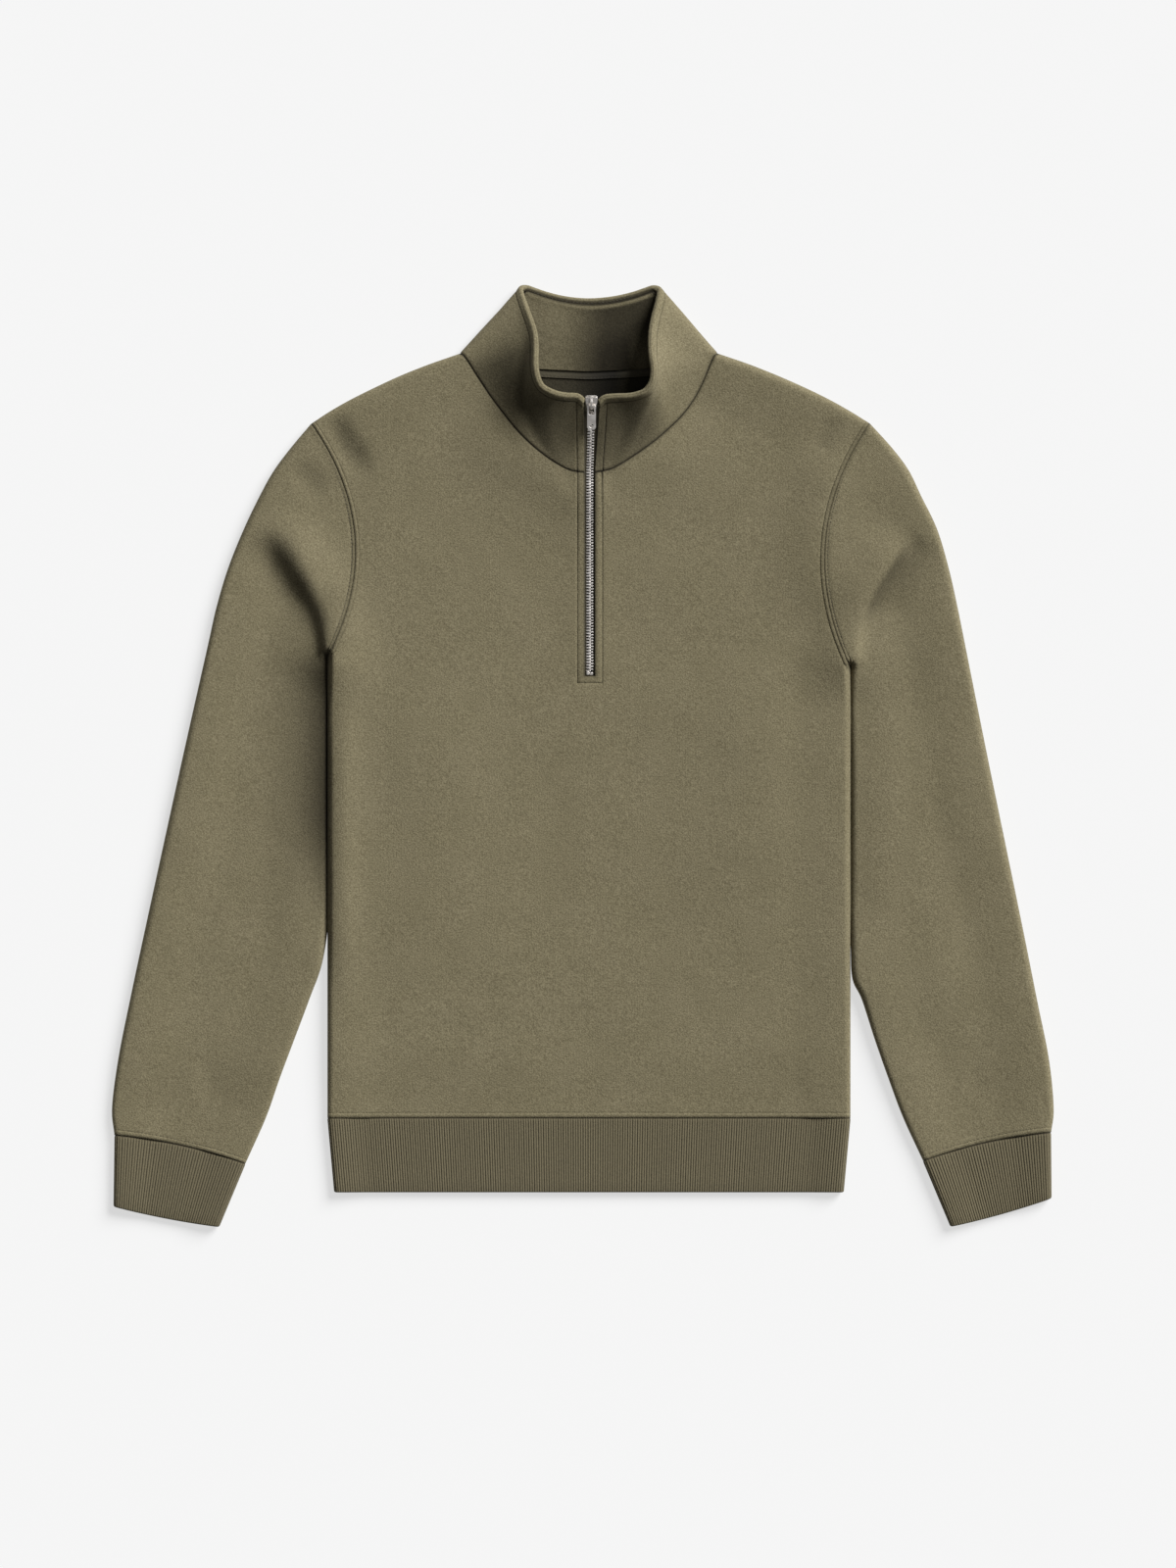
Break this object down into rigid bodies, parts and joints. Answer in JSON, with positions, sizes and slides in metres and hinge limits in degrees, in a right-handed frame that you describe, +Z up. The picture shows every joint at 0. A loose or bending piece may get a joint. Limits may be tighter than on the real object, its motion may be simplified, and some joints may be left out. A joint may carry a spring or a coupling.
{
  "type": "half zip sweatshirt",
  "caption": "Fleece sweatshirt laid flat on its back, with a zipped stand collar, set-in sleeves and rib knit at the cuffs and hem.",
  "frame": {"origin": "on the surface the sweatshirt lies on, under the middle of its box", "axes": "+X to the right seen from above the front, +Y from the hem to the collar, +Z up out of the front"},
  "size_m": [0.7849, 0.7877, 0.0401],
  "materials": {
    "fleece": "soft brushed cotton jersey, faintly napped",
    "rib": "rib knit, one rib every 2 mm",
    "tape": "flat woven tape",
    "metal": "satin silver metal"
  },
  "bodies": {
    "garment": {"front": "fleece", "back": "fleece", "sleeve_left": "fleece", "sleeve_right": "fleece", "cuff_left": "rib", "cuff_right": "rib", "hem_band": "rib", "collar": "fleece", "collar_facing": "fleece", "neck_tape": "tape", "zip_tape_left": "tape", "zip_tape_right": "tape", "zip_chain": "metal", "zip_stop": "metal", "zip_slider": "metal"},
    "pull_tab": {"zip_pull": "metal"}
  },
  "joints": [
    {"name": "pull_tab_hinge", "type": "hinge", "parent": "garment", "child": "pull_tab", "pos_m": [0.00735, 0.29126, 0.03061], "axis": [-1, 0, 0], "range_deg": [0, 150]}
  ]
}
